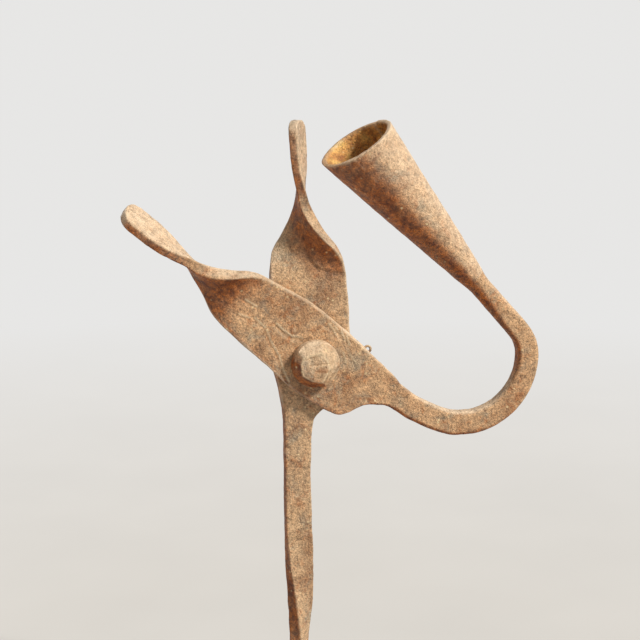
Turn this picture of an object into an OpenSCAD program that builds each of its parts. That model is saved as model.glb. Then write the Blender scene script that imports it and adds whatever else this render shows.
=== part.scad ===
// Wrought iron rushlight holder: a stem forged in one with the fixed jaw, a loose arm that
// carries the other jaw and a rolled candle socket as its counterweight, the pivot pin that
// joins them, its washer and split pin, and the wooden block that the stem stands in.
// +Z is up, the viewer is at -Y, and the origin is the middle of the block's underside.

/* [Pivot] */
// Height of the pivot above the table
pivot_height = 165; // [155:1:190]
// How far the pivot stands to the right of the stem's foot
pivot_offset = 4.2; // [2:0.1:6]
// Diameter of the pivot pin's shank
shank_d = 7; // [5:0.25:8.5]
// Radial play of the loose arm on the shank
pivot_play = 0.08; // [0.03:0.01:0.1]
// Radial clearance of the shank in the stem and in the washer
shank_fit = 0.05; // [0.02:0.01:0.1]
// Gap between flat faces that slide on each other
face_gap = 0.2; // [0.1:0.05:0.4]

/* [Pin head] */
// Diameter of the hammered head
head_d = 15; // [13:0.25:18]
// Height of the head
head_h = 5.4; // [4:0.2:7]
// Height of the round skirt under the facets
head_skirt = 1.8; // [1:0.1:2.5]
// Width across the flat that the hammer left on top
head_flat = 8.4; // [6:0.2:10]
// Number of hammered facets
head_facets = 7; // [6:1:9]

/* [Washer and split pin] */
// Diameter of the washer behind the stem
washer_d = 16; // [13:0.5:20]
// Thickness of the washer
washer_t = 1.6; // [1:0.1:2.5]
// Length of shank behind the washer
tail_length = 5; // [4:0.25:7]
// Diameter of the split pin's wire
wire_d = 0.8; // [0.6:0.05:1]
// Clearance of the folded wire in its hole
wire_fit = 0.15; // [0.1:0.05:0.3]
// Distance from the pivot to the middle of the eye
eye_reach = 19.4; // [16:0.2:22]
// Radius of the eye at the middle of its wire
eye_radius = 1; // [0.8:0.05:1.4]
// Angle by which the split pin's hole is turned
pin_turn = 3.5; // [0:0.5:10]
// Distance from the pivot to the spread ends
leg_reach = 10; // [8:0.5:12]
// Angle by which each end is spread
leg_spread = 24; // [10:1:40]

/* [Jaws] */
// Distance from the pivot to the loose jaw's tip
loose_jaw_reach = 74.8; // [68:0.2:82]
// Distance from the pivot to the fixed jaw's tip
fixed_jaw_reach = 73.8; // [68:0.2:82]
// Distance from the pivot to the neck, where the twist is narrowest
neck_reach = 50; // [47:0.5:53]
// Width of the neck
neck_w = 6.6; // [5.6:0.2:8]
// Thickness of the neck
neck_t = 3.4; // [2.8:0.1:4.2]
// Width of the gripping end
grip_w = 12; // [9:0.25:14]
// Thickness of the gripping end
grip_t = 3; // [2.2:0.1:3.6]
// Twist of the gripping end against the plate
jaw_twist = 115; // [95:1:120]
// Thickness of the bar where it folds into the twist
fold_t = 4.1; // [3.5:0.1:4.6]

/* [Stem] */
// Width of the stem's plate at the pivot
stem_plate_w = 24.4; // [22:0.2:27]
// Thickness of the stem's plate
stem_plate_t = 3.5; // [2.8:0.1:4.5]
// Width of the stem
stem_w = 8.5; // [7:0.1:10]
// Thickness of the stem at its foot
stem_t = 4.6; // [3.8:0.1:5.5]
// Width of the tang where it enters the block
tang_w = 6.6; // [5:0.2:8]
// Width of the tang's point
tang_tip = 3; // [2:0.2:4]
// Twist of the stem above the block
stem_twist = 88; // [60:1:100]
// Lean of the fixed jaw
fixed_jaw_lean = 3.6; // [0:0.2:6]

/* [Arm] */
// Width of the arm's plate at the pivot
arm_plate_w = 24.7; // [22:0.1:27]
// Thickness of the arm's plate
arm_plate_t = 3.5; // [2.8:0.1:4.5]
// Angle of the loose jaw from upright, as it stands open
open_angle = 50; // [48:0.5:54]
// Width of the bar round the bend
bar_w = 7.4; // [6.4:0.1:8.4]
// Thickness of the bar round the bend
bar_t = 4.8; // [4:0.1:5.5]
// How far the loose jaw is set forward of the arm's plate, to clear the fixed one
jaw_set = 0.9; // [0.6:0.1:1.5]
// Radius of the wide part of the bend, at the middle of the bar
bend_radius = 21; // [19:0.2:23]
// Radius of the tighter part, towards the socket
bend_end_radius = 13; // [11:0.2:15]
// Distance of the bend's centre to the right of the pivot
bend_centre_x = 48.8; // [47:0.2:52]
// Height of the bend's centre against the pivot
bend_centre_z = -1.4; // [-4:0.2:2]

/* [Candle socket] */
// Outer diameter of the socket's mouth
socket_d = 23.2; // [21:0.2:27]
// Length of the socket
socket_length = 61; // [56:0.5:68]
// Depth of the hollow for the candle
socket_depth = 50; // [40:0.5:52]
// Thickness of the rolled sheet
socket_wall = 1.3; // [1:0.1:1.8]
// Angle of the socket's axis above the horizontal, leaning left
socket_angle = 48; // [46:0.2:52]
// Slant of the mouth against the socket's axis
mouth_slant = 9; // [0:0.5:11]
// Slant of the mouth towards the viewer
mouth_tip = 7; // [0:0.5:9]
// Height of the step at the lapped seam
seam_step = 0.7; // [0.3:0.1:1]

/* [Block] */
// Width of the wooden block
block_w = 88; // [75:1:105]
// Depth of the wooden block
block_d = 84; // [72:1:100]
// Height of the wooden block
block_h = 44; // [36:1:55]
// Width of the bevel round its top
block_bevel = 9; // [5:0.5:13]
// Width of the flat at its upright corners
block_corner = 7; // [4:0.5:12]
// Depth of the tang's hole
tang_depth = 34; // [26:0.5:35]
// Clearance between the tang and the wood
tang_fit = 0.1; // [0.05:0.05:0.3]

/* [Hidden] */
iron = [0.42, 0.29, 0.2];
worn_iron = [0.5, 0.38, 0.28];
oak = [0.33, 0.22, 0.13];

// Smoothness: points in each rounded corner of a bar's section, and the longest step along a bar
arm_corner_points = 8;
stem_corner_points = 5;
bar_step = 6;
round_fn = 64;
edge_round = 0.8;

// Depths, from the stem's middle plane
stem_front = -stem_plate_t / 2;
stem_back = stem_plate_t / 2;
arm_middle = stem_front - face_gap - arm_plate_t / 2;
head_seat = arm_middle - arm_plate_t / 2 - face_gap;
washer_front = stem_back + face_gap;
washer_back = washer_front + washer_t;
wire_hole_r = wire_d + wire_fit;
wire_plane = washer_back + wire_hole_r + face_gap;
shank_end = washer_back + tail_length;
eps = 0.01;

function mix(a, b, share) = a + (b - a) * share;

// Shape-keeping cubic interpolation between rows, whose first entry is the distance along the bar
function gentle(a, b) = a * b <= 0 ? 0 : 2 * a * b / (a + b);
function secant(rows, i) = (rows[i + 1] - rows[i]) / (rows[i + 1][0] - rows[i][0]);
function slope(rows, i) =
    i == 0 ? secant(rows, 0) :
    i == len(rows) - 1 ? secant(rows, i - 1) :
    let (before = secant(rows, i - 1), after = secant(rows, i))
    [for (k = [0 : len(before) - 1]) gentle(before[k], after[k])];
function between(rows, i, u) =
    let (h = rows[i + 1][0] - rows[i][0], u2 = u * u, u3 = u2 * u)
    rows[i] * (2 * u3 - 3 * u2 + 1) + slope(rows, i) * h * (u3 - 2 * u2 + u)
    + rows[i + 1] * (3 * u2 - 2 * u3) + slope(rows, i + 1) * h * (u3 - u2);
function filled(rows, step) = [
    for (i = [0 : len(rows) - 2])
        let (n = max(2, ceil((rows[i + 1][0] - rows[i][0]) / step)))
        for (j = [0 : n - 1]) between(rows, i, j / n),
    rows[len(rows) - 1]
];

// A bar's section: a rectangle with rounded corners, anticlockwise, starting right of the thick side
function section(half_w, half_t, round_r, corner_points) =
    let (r = min(round_r, half_w, half_t))
    [for (q = [0 : 3], k = [0 : corner_points - 1])
        let (a = 90 * q + 90 * k / (corner_points - 1),
             cx = (q == 0 || q == 3 ? 1 : -1) * (half_w - r),
             cy = (q < 2 ? 1 : -1) * (half_t - r))
        [cx + r * cos(a), cy + r * sin(a)]];

// Skins a list of rings, each with as many points, into one closed solid
module skin(rings) {
    n = len(rings[0]);
    m = len(rings);
    polyhedron(
        points = [for (ring = rings) each ring],
        faces = [
            [for (k = [0 : n - 1]) k],
            for (i = [0 : m - 2], k = [0 : n - 1])
                let (a = i * n + k, b = i * n + (k + 1) % n)
                each [[a, a + n, b], [b, a + n, b + n]],
            [for (k = [n - 1 : -1 : 0]) (m - 1) * n + k]
        ],
        convexity = 12
    );
}

// Stem and fixed jaw: a stack of level sections. Row: height, middle, width, thickness, twist
quarter_turn = 90;
function jaw_middle(z, inset) = inset - tan(fixed_jaw_lean) * z;
// The gripping end, from the neck outwards: distance, width, thickness, twist
function grip_rows(reach) = [
    [neck_reach, neck_w, neck_t, quarter_turn],
    [mix(neck_reach, reach, 0.2), mix(neck_w, grip_w, 0.44), mix(neck_t, grip_t, 0.6),
     mix(quarter_turn, jaw_twist, 0.62)],
    [mix(neck_reach, reach, 0.4), mix(neck_w, grip_w, 0.84), grip_t, mix(quarter_turn, jaw_twist, 0.92)],
    [mix(neck_reach, reach, 0.6), grip_w, grip_t, jaw_twist],
    [mix(neck_reach, reach, 0.82), grip_w, grip_t, jaw_twist],
    [reach - grip_w * 0.18, grip_w * 0.9, grip_t, jaw_twist],
    [reach - grip_w * 0.07, grip_w * 0.7, grip_t * 0.97, jaw_twist],
    [reach, grip_w * 0.38, grip_t * 0.88, jaw_twist]
];
// The fold from the plate to the neck: share of the neck's distance, share of the plate's width left,
// share of the quarter turn at the neck
fold_rows = [[0.59, 0.92, 0.07], [0.69, 0.76, 0.26], [0.79, 0.43, 0.5], [0.9, 0.14, 0.77]];

block_top = block_h - pivot_height;
tang_rim = 4;
stem_middle = -pivot_offset;
// The tang tapers straight from here to its point, as its hole does
tang_point = [block_top - tang_depth, stem_middle, tang_tip, tang_tip, -stem_twist];
// The stem's twist ends here, well below the plate
twist_top = -2.2 * stem_plate_w;
// Height of a row as a share of the plate's width below the pivot
function below(share) = -share * stem_plate_w;
stem_rows = [
    [block_top - tang_rim, stem_middle, tang_w, stem_t, -stem_twist],
    [block_top, stem_middle, tang_w, stem_t, -stem_twist],
    [mix(block_top, twist_top, 0.09), stem_middle, stem_w * 0.84, stem_t, -stem_twist],
    [mix(block_top, twist_top, 0.39), stem_middle + 0.3, stem_w * 0.89, stem_t * 0.94, -stem_twist * 0.72],
    [mix(block_top, twist_top, 0.61), stem_middle + 0.7, stem_w * 0.95, stem_t * 0.9, -stem_twist * 0.42],
    [mix(block_top, twist_top, 0.83), stem_middle + 0.3, stem_w, stem_t * 0.85, -stem_twist * 0.15],
    [twist_top, stem_middle, stem_w, mix(stem_plate_t, stem_t, 0.25), 0],
    [below(1.56), stem_middle - 0.3, stem_w * 0.96, stem_plate_t, 0],
    [below(1.02), stem_middle - 0.2, stem_w, stem_plate_t, 0],
    [below(0.8), stem_middle, stem_w * 1.08, stem_plate_t, 0],
    [below(0.7), stem_middle + 0.8, stem_w * 1.32, stem_plate_t, 0],
    [below(0.57), stem_middle + 2.7, stem_plate_w * 0.65, stem_plate_t, 0],
    [below(0.33), stem_middle + 4.1, stem_plate_w * 0.86, stem_plate_t, 0],
    [0, 0, stem_plate_w, stem_plate_t, 0],
    [neck_reach * 0.28, jaw_middle(neck_reach * 0.28, 0.6), stem_plate_w, stem_plate_t, 0],
    [neck_reach * 0.5, jaw_middle(neck_reach * 0.5, 0.7), stem_plate_w * 0.98, stem_plate_t, 0],
    for (f = fold_rows)
        let (z = neck_reach * f[0])
        [z, jaw_middle(z, mix(0.7, 0.3, f[2])), mix(neck_w, stem_plate_w, f[1]),
         mix(stem_plate_t, fold_t, sin(180 * f[2])), quarter_turn * f[2]],
    for (g = grip_rows(fixed_jaw_reach)) [g[0], jaw_middle(g[0], 0.2), g[1], g[2], g[3]]
];

module stem_bar(extra = 0) {
    skin([for (row = concat([tang_point], filled(stem_rows, bar_step)))
        [for (p = section(row[2] / 2 + extra, row[3] / 2 + extra, edge_round, stem_corner_points))
            [row[1] + p[0] * cos(row[4]) + p[1] * sin(row[4]),
             p[1] * cos(row[4]) - p[0] * sin(row[4]), row[0]]]]);
}

module stem_and_fixed_jaw() {
    color(iron)
        translate([pivot_offset, 0, pivot_height])
            difference() {
                stem_bar();
                pivot_hole(shank_fit, stem_front - 1, stem_back + 1);
            }
}

module pivot_hole(clearance, from, to) {
    translate([0, from, 0])
        rotate([-90, 0, 0])
            cylinder(r = shank_d / 2 + clearance, h = to - from, $fn = round_fn);
}

// Arm: sections square to a heading.
// Row: distance, x, z, heading, width, thickness, corner radius, twist, seam, tip, set forward
jaw_heading = open_angle - 90;
function on_jaw(s, up) = [
    -s * sin(open_angle) + up * cos(open_angle),
    s * cos(open_angle) + up * sin(open_angle)];
// A row of the jaw or plate, from its upper and lower edges
function jaw_row(s, up, down, t, twist) =
    let (middle = on_jaw(s, (up + down) / 2),
         set = s < neck_reach * 0.3 ? 0 : s < neck_reach * 0.5 ? 0.35 * jaw_set : jaw_set)
    [-s, middle[0], middle[1], jaw_heading, up - down, t, edge_round, twist, 0, 0, set];
// A row of an arc that begins at a distance and angle, round a centre
function arc_row(start, from, angle, x, z, r, w) = [
    start + r * (angle - from) * PI / 180, x + r * cos(angle), z + r * sin(angle),
    angle + 90, w, bar_t, edge_round * 2, 0, 0, 0, 0];

plate_up = arm_plate_w * 0.565;
plate_down = plate_up - arm_plate_w;
socket_heading = 180 - socket_angle;
bend_start = -95;
bend_from = bend_centre_x * 1.035;
tight_from = bend_from - bend_radius * bend_start * PI / 180;
tight_x = bend_centre_x + bend_radius - bend_end_radius;
tight_turn = socket_heading - 90;
straight_from = tight_from + bend_end_radius * tight_turn * PI / 180;
// The straight run between the bend and the socket
straight = socket_length * 0.311;
socket_from = straight_from + straight;
socket_foot = [
    tight_x + bend_end_radius * cos(tight_turn) + straight * cos(socket_heading),
    bend_centre_z + bend_end_radius * sin(tight_turn) + straight * sin(socket_heading)];
foot_w = bar_w * 0.89;
straight_end = socket_foot - straight * [cos(socket_heading), sin(socket_heading)];
function socket_row(along, r, slant, seam) = [
    socket_from + along,
    socket_foot[0] + along * cos(socket_heading), socket_foot[1] + along * sin(socket_heading),
    socket_heading - slant, 2 * r / cos(slant), 2 * r, r, 0, seam, slant == 0 ? 0 : mouth_tip, 0];

arm_rows = [
    for (k = [len(grip_rows(loose_jaw_reach)) - 1 : -1 : 0])
        let (g = grip_rows(loose_jaw_reach)[k])
        jaw_row(g[0], 0.5 + g[1] / 2, 0.5 - g[1] / 2, g[2], g[3]),
    for (k = [len(fold_rows) - 1 : -1 : 0])
        let (f = fold_rows[k], w = mix(neck_w, arm_plate_w * 0.84, f[1]), middle = mix(1.4, 0, f[2]))
        jaw_row(neck_reach * f[0], middle + w / 2, middle - w / 2,
            mix(arm_plate_t, fold_t, sin(180 * f[2])), quarter_turn * f[2]),
    jaw_row(neck_reach * 0.48, plate_up * 0.86, plate_down * 0.83, arm_plate_t, 0),
    jaw_row(neck_reach * 0.24, plate_up * 0.99, plate_down * 0.91, arm_plate_t, 0),
    jaw_row(0, plate_up, plate_down, arm_plate_t, 0),
    jaw_row(-arm_plate_w * 0.324, plate_up * 0.97, plate_down * 0.94, arm_plate_t, 0),
    jaw_row(-arm_plate_w * 0.567, plate_up * 0.93, plate_down * 0.85, arm_plate_t, 0),
    jaw_row(-arm_plate_w * 0.696, plate_up * 0.91, plate_down * 0.74, arm_plate_t, 0),
    jaw_row(-arm_plate_w * 0.77, plate_up * 0.9, plate_down * 0.52, arm_plate_t, 0),
    jaw_row(-arm_plate_w * 0.842, plate_up * 0.88, plate_down * 0.18, arm_plate_t * 1.03, 0),
    jaw_row(-arm_plate_w * 0.992, plate_up * 0.86, plate_up * 0.115, mix(arm_plate_t, bar_t, 0.4), 0),
    [arm_plate_w * 1.275, arm_plate_w * 1.065, arm_plate_w * -0.498, -37.7,
     bar_w * 1.08, mix(arm_plate_t, bar_t, 0.7), edge_round * 1.6, 0, 0, 0, 0],
    [arm_plate_w * 1.58, arm_plate_w * 1.336, arm_plate_w * -0.688, -27,
     bar_w * 1.02, bar_t, edge_round * 2, 0, 0, 0, 0],
    for (k = [0 : 8])
        arc_row(bend_from, bend_start, mix(bend_start, 0, k / 8), bend_centre_x, bend_centre_z, bend_radius,
            mix(bar_w * 1.05, bar_w * 0.93, k / 8)),
    for (k = [1 : 4])
        arc_row(tight_from, 0, tight_turn * k / 4, tight_x, bend_centre_z, bend_end_radius,
            mix(bar_w * 0.93, foot_w, k / 4)),
    [mix(straight_from, socket_from, 0.5),
     mix(socket_foot[0], straight_end[0], 0.5), mix(socket_foot[1], straight_end[1], 0.5),
     socket_heading, foot_w, foot_w * 0.85, foot_w * 0.35, 0, 0, 0, 0],
    socket_row(0, foot_w / 2, 0, 0),
    socket_row(socket_length * 0.115, mix(foot_w, socket_d, 0.115) / 2, 0, 0.3),
    socket_row(socket_length / 2, mix(foot_w, socket_d, 0.5) / 2, 0, 1),
    socket_row(socket_length, socket_d / 2, mouth_slant, 1)
];

// The lap stands proud behind the socket: full height at the seam, fading round a third of the way
seam_angle = 150;
seam_fade = 110;
function lap(angle, seam) =
    let (back = (angle - seam_angle + 360) % 360)
    back > seam_fade ? 0 : seam * seam_step * (1 - back / seam_fade);

function arm_ring(row) =
    let (heading = row[3], points = section(row[4] / 2, row[5] / 2, row[6], arm_corner_points))
    // taken backwards, because depth runs away from the viewer
    [for (k = [len(points) - 1 : -1 : 0])
        let (
            p = points[k],
            angle = atan2(p[1], p[0]),
            swell = 1 + lap(angle, row[8]) / norm(p),
            side = p[0] * swell, depth = p[1] * swell,
            across = side * cos(row[7]) + depth * sin(row[7]),
            deep = depth * cos(row[7]) - side * sin(row[7]),
            ahead = deep * tan(row[9]))
        [row[1] + ahead * cos(heading) - across * sin(heading), arm_middle - row[10] + deep,
         row[2] + ahead * sin(heading) + across * cos(heading)]];

module socket_hollow() {
    taper = (socket_d - foot_w) / 2 / socket_length;
    past = 6;
    translate([socket_foot[0], arm_middle, socket_foot[1]])
        rotate([0, 90 - socket_heading, 0])
            translate([0, 0, socket_length - socket_depth])
                cylinder(
                    r1 = foot_w / 2 + taper * (socket_length - socket_depth) - socket_wall,
                    r2 = socket_d / 2 + taper * past - socket_wall,
                    h = socket_depth + past, $fn = round_fn);
}

module nip_arm_and_socket() {
    color(iron)
        translate([pivot_offset, 0, pivot_height])
            difference() {
                skin([for (row = filled(arm_rows, bar_step)) arm_ring(row)]);
                pivot_hole(pivot_play, head_seat - 1, stem_front);
                socket_hollow();
            }
}

// Pivot pin: a shank with a head that the hammer left in facets, and a cross hole near its tail
module pivot_pin() {
    color(worn_iron)
        translate([pivot_offset, 0, pivot_height])
            rotate([-90, 0, 0])
                difference() {
                    union() {
                        translate([0, 0, head_seat - head_skirt])
                            cylinder(d = head_d, h = head_skirt, $fn = round_fn);
                        translate([0, 0, head_seat - head_h])
                            intersection() {
                                cylinder(d1 = head_flat * 1.06, d2 = head_d * 1.06,
                                    h = head_h - head_skirt, $fn = head_facets);
                                cylinder(d = head_d, h = head_h, $fn = round_fn);
                            }
                        translate([0, 0, head_seat - eps])
                            cylinder(d = shank_d, h = shank_end - head_seat + eps, $fn = round_fn);
                    }
                    translate([0, 0, wire_plane])
                        rotate([0, 90, -pin_turn])
                            cylinder(r = wire_hole_r, h = shank_d * 2, center = true, $fn = round_fn);
                }
}

module washer() {
    color(worn_iron)
        translate([pivot_offset, washer_front, pivot_height])
            rotate([-90, 0, 0])
                difference() {
                    cylinder(d = washer_d, h = washer_t, $fn = round_fn);
                    translate([0, 0, -1])
                        cylinder(r = shank_d / 2 + shank_fit, h = washer_t + 2, $fn = round_fn);
                }
}

// Split pin: one wire, folded round its eye, through the pin, with both ends spread
wire_gap = 0.04;
leg_half = wire_d / 2 + wire_gap;
function eye_path() = [
    for (a = [155 : -20 : -155]) [eye_reach + eye_radius * cos(a), eye_radius * sin(a)]];
function leg_path(side) =
    let (bend = shank_d / 2 + 0.8, run = leg_reach - bend)
    [[eye_reach - eye_radius - 1.4, side * leg_half], [shank_d / 2 + 1, side * leg_half],
     [-bend, side * leg_half],
     for (k = [1 : 4])
        let (a = leg_spread * k / 4)
        [-bend - run * k / 4 * cos(a / 2), side * (leg_half + run * k / 4 * sin(a / 2) * 1.4)]];
wire_path = concat(
    [for (k = [len(leg_path(1)) - 1 : -1 : 0]) leg_path(1)[k]],
    eye_path(),
    leg_path(-1));

module split_pin() {
    n = len(wire_path);
    color(worn_iron)
        translate([pivot_offset, wire_plane, pivot_height])
            rotate([0, -pin_turn, 0])
            skin([for (i = [0 : n - 1])
                let (way = wire_path[min(i + 1, n - 1)] - wire_path[max(i - 1, 0)],
                     heading = atan2(way[1], way[0]))
                [for (k = [0 : 9])
                    let (across = wire_d / 2 * cos(36 * k))
                    [wire_path[i][0] - across * sin(heading), -wire_d / 2 * sin(36 * k),
                     wire_path[i][1] + across * cos(heading)]]]);
}

// Wooden block: bevelled top, corners taken off, and the hole that the tang was burnt into
module block_outline(inset) {
    half_w = block_w / 2 - inset;
    half_d = block_d / 2 - inset;
    c = block_corner;
    polygon([
        [half_w, half_d - c], [half_w - c, half_d], [c - half_w, half_d], [-half_w, half_d - c],
        [-half_w, c - half_d], [c - half_w, -half_d], [half_w - c, -half_d], [half_w, c - half_d]]);
}

module tang_hole() {
    skin([for (row = [
            [-tang_fit, tang_tip, tang_tip],
            [tang_depth - tang_rim, tang_w, stem_t],
            [tang_depth + 0.1, tang_w, stem_t]])
        [for (corner = [[1, 1], [-1, 1], [-1, -1], [1, -1]])
            [corner[0] * (row[1] / 2 + tang_fit), corner[1] * (row[2] / 2 + tang_fit), row[0]]]]);
}

module wooden_block() {
    bevel_h = block_bevel * 0.7;
    thin = 0.2;
    color(oak)
        difference() {
            hull() {
                linear_extrude(block_h - bevel_h)
                    block_outline(0);
                translate([0, 0, block_h - thin])
                    linear_extrude(thin)
                        block_outline(block_bevel);
            }
            // burnt out by the hot tang, so it follows the tang's taper
            translate([0, 0, block_h - tang_depth])
                rotate([0, 0, stem_twist])
                    tang_hole();
        }
}

stem_and_fixed_jaw();
nip_arm_and_socket();
pivot_pin();
washer();
split_pin();
wooden_block();
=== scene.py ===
"""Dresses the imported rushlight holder: hammered, pitted, rust-browned iron in an old oak block.

Lengths in the helpers are in millimetres; Blender's own are in metres. The viewer is at -Y.
"""

import math

import bmesh
import bpy
import numpy as np
from mathutils import Matrix, Vector


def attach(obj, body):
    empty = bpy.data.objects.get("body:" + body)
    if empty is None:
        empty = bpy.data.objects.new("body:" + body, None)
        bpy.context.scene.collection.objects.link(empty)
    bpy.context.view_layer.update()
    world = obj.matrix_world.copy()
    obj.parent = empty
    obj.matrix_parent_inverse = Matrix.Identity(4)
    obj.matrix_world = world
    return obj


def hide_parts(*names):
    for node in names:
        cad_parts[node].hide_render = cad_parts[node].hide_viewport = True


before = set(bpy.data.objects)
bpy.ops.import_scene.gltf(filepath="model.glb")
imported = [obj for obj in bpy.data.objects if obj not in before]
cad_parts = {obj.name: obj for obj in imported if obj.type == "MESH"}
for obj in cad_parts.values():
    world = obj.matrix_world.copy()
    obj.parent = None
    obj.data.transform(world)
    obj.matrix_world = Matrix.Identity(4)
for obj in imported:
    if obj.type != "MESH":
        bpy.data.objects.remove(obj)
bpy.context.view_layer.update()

MM = 0.001
PIVOT = np.array((4.2, 0.0, 165.0))
HEAD_SEAT = -5.65
PLATE_FRONT = -5.45
ARM_BACK = -1.95
STEM_FRONT, STEM_BACK = -1.75, 1.75
WASHER_FRONT = 1.95
SOCKET_FOOT = np.array((53.75, -3.7, 21.42))


# ---------------------------------------------------------------- noise

def lattice(cell, seed):
    """A value from 0 to 1 for each whole-numbered cell, the same on every run."""
    c = cell.astype(np.int64).astype(np.uint32)
    h = c[:, 0] * np.uint32(374761393) + c[:, 1] * np.uint32(668265263) + c[:, 2] * np.uint32(2246822519)
    h = h + np.uint32((seed * 3266489917) & 0xFFFFFFFF)
    h = (h ^ (h >> np.uint32(15))) * np.uint32(2246822519)
    h = (h ^ (h >> np.uint32(13))) * np.uint32(3266489917)
    h = h ^ (h >> np.uint32(16))
    return h.astype(np.float64) / 4294967295.0


def smooth_noise(points, size, seed):
    """Smooth noise from -1 to 1, its bumps about size across."""
    q = points / size
    base = np.floor(q)
    f = q - base
    f = f * f * (3 - 2 * f)
    total = np.zeros(len(q))
    for dx in (0, 1):
        for dy in (0, 1):
            for dz in (0, 1):
                corner = lattice(base + (dx, dy, dz), seed)
                weight = (f[:, 0] if dx else 1 - f[:, 0]) * (f[:, 1] if dy else 1 - f[:, 1])
                total += corner * weight * (f[:, 2] if dz else 1 - f[:, 2])
    return total * 2 - 1


def rough_noise(points, size, octaves, seed):
    total = np.zeros(len(points))
    weight, whole = 1.0, 0.0
    for k in range(octaves):
        total += weight * smooth_noise(points, size / 2 ** k, seed + 17 * k)
        whole += weight
        weight *= 0.55
    return total / whole


def nearest_seeds(points, size, seed):
    """Distances to the nearest and second nearest scattered seed, and a value for the nearest."""
    q = points / size
    base = np.floor(q)
    first = np.full(len(q), 9.0)
    second = np.full(len(q), 9.0)
    value = np.zeros(len(q))
    for dx in (-1, 0, 1):
        for dy in (-1, 0, 1):
            for dz in (-1, 0, 1):
                cell = base + (dx, dy, dz)
                spot = cell + np.stack([lattice(cell, seed + s) for s in (1, 2, 3)], 1)
                d = np.linalg.norm(q - spot, axis=1)
                nearer = d < first
                second = np.where(nearer, first, np.minimum(second, d))
                value = np.where(nearer, lattice(cell, seed + 4), value)
                first = np.where(nearer, d, first)
    return first * size, second * size, value


def ramp(x, low, high):
    t = np.clip((x - low) / (high - low), 0, 1)
    return t * t * (3 - 2 * t)


# ---------------------------------------------------------------- meshes

class Shape:
    """A mesh as arrays in millimetres."""

    def __init__(self, mesh):
        self.mesh = mesh
        n = len(mesh.vertices)
        co = np.empty(n * 3)
        mesh.vertices.foreach_get("co", co)
        self.p = co.reshape(-1, 3) / MM
        e = np.empty(len(mesh.edges) * 2, dtype=np.int64)
        mesh.edges.foreach_get("vertices", e)
        self.edges = e.reshape(-1, 2)
        self.degree = np.bincount(self.edges.ravel(), minlength=n).astype(float)

    def normals(self):
        self.write()
        n = np.empty(len(self.p) * 3)
        self.mesh.vertices.foreach_get("normal", n)
        return n.reshape(-1, 3)

    def average(self, values):
        a, b = self.edges[:, 0], self.edges[:, 1]
        n = len(self.p)
        if values.ndim == 1:
            return (np.bincount(a, values[b], n) + np.bincount(b, values[a], n)) / self.degree
        return np.stack([self.average(values[:, k]) for k in range(values.shape[1])], 1)

    def relax(self, times):
        """Takes the voxels' steps off without shrinking the shape."""
        for _ in range(times):
            self.p += 0.5 * (self.average(self.p) - self.p)
            self.p -= 0.52 * (self.average(self.p) - self.p)

    def spread(self, values, times):
        for _ in range(times):
            values = values + 0.5 * (self.average(values) - values)
        return values

    def write(self):
        self.mesh.vertices.foreach_set("co", (self.p * MM).ravel())
        self.mesh.update()

    def store(self, name, values):
        a = self.mesh.attributes.get(name) or self.mesh.attributes.new(name, "FLOAT", "POINT")
        a.data.foreach_set("value", np.clip(values, 0, 1).astype(np.float32))


def new_object(name, mesh):
    ob = bpy.data.objects.new(name, mesh)
    bpy.context.scene.collection.objects.link(ob)
    return ob


def fine_copy(name, node_or_mesh, voxel, smoothing):
    """A closed, even, fine mesh of a CAD node, ready to be hammered."""
    mesh = node_or_mesh if isinstance(node_or_mesh,
            bpy.types.Mesh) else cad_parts[node_or_mesh].data.copy()
    # worked in decimetre units, because the remesh modifier has a smallest voxel
    mesh.transform(((100, 0, 0, 0), (0, 100, 0, 0), (0, 0, 100, 0), (0, 0, 0, 1)))
    ob = new_object(name + "_raw", mesh)
    mod = ob.modifiers.new("voxels", "REMESH")
    mod.mode = "VOXEL"
    mod.voxel_size = voxel * MM * 100
    mod.adaptivity = 0
    made = bpy.data.meshes.new_from_object(ob.evaluated_get(bpy.context.evaluated_depsgraph_get()))
    bpy.data.objects.remove(ob)
    made.transform(((0.01, 0, 0, 0), (0, 0.01, 0, 0), (0, 0, 0.01, 0), (0, 0, 0, 1)))
    made.name = name
    made.materials.clear()
    shape = Shape(made)
    shape.relax(smoothing)
    shape.write()
    made.polygons.foreach_set("use_smooth", np.ones(len(made.polygons), dtype=bool))
    return shape


def sharpness(shape, radius_steps):
    """How convex each point is: positive on edges, negative in hollows, in millimetres."""
    soft = shape.p.copy()
    for _ in range(radius_steps):
        soft += 0.5 * (shape.average(soft) - soft)
    return ((shape.p - soft) * shape.normals()).sum(1)


def groove(points, path, width, depth):
    """Depth of a cut along a path of (x, z) points, in the plane seen from the front."""
    best = np.full(len(points), 1e9)
    xz = points[:, (0, 2)]
    for a, b in zip(path[:-1], path[1:]):
        a, b = np.array(a, float), np.array(b, float)
        d = b - a
        t = np.clip(((xz - a) @ d) / (d @ d), 0, 1)
        best = np.minimum(best, np.linalg.norm(xz - a - t[:, None] * d, axis=1))
    return depth * np.exp(-(best / width) ** 2)


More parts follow.
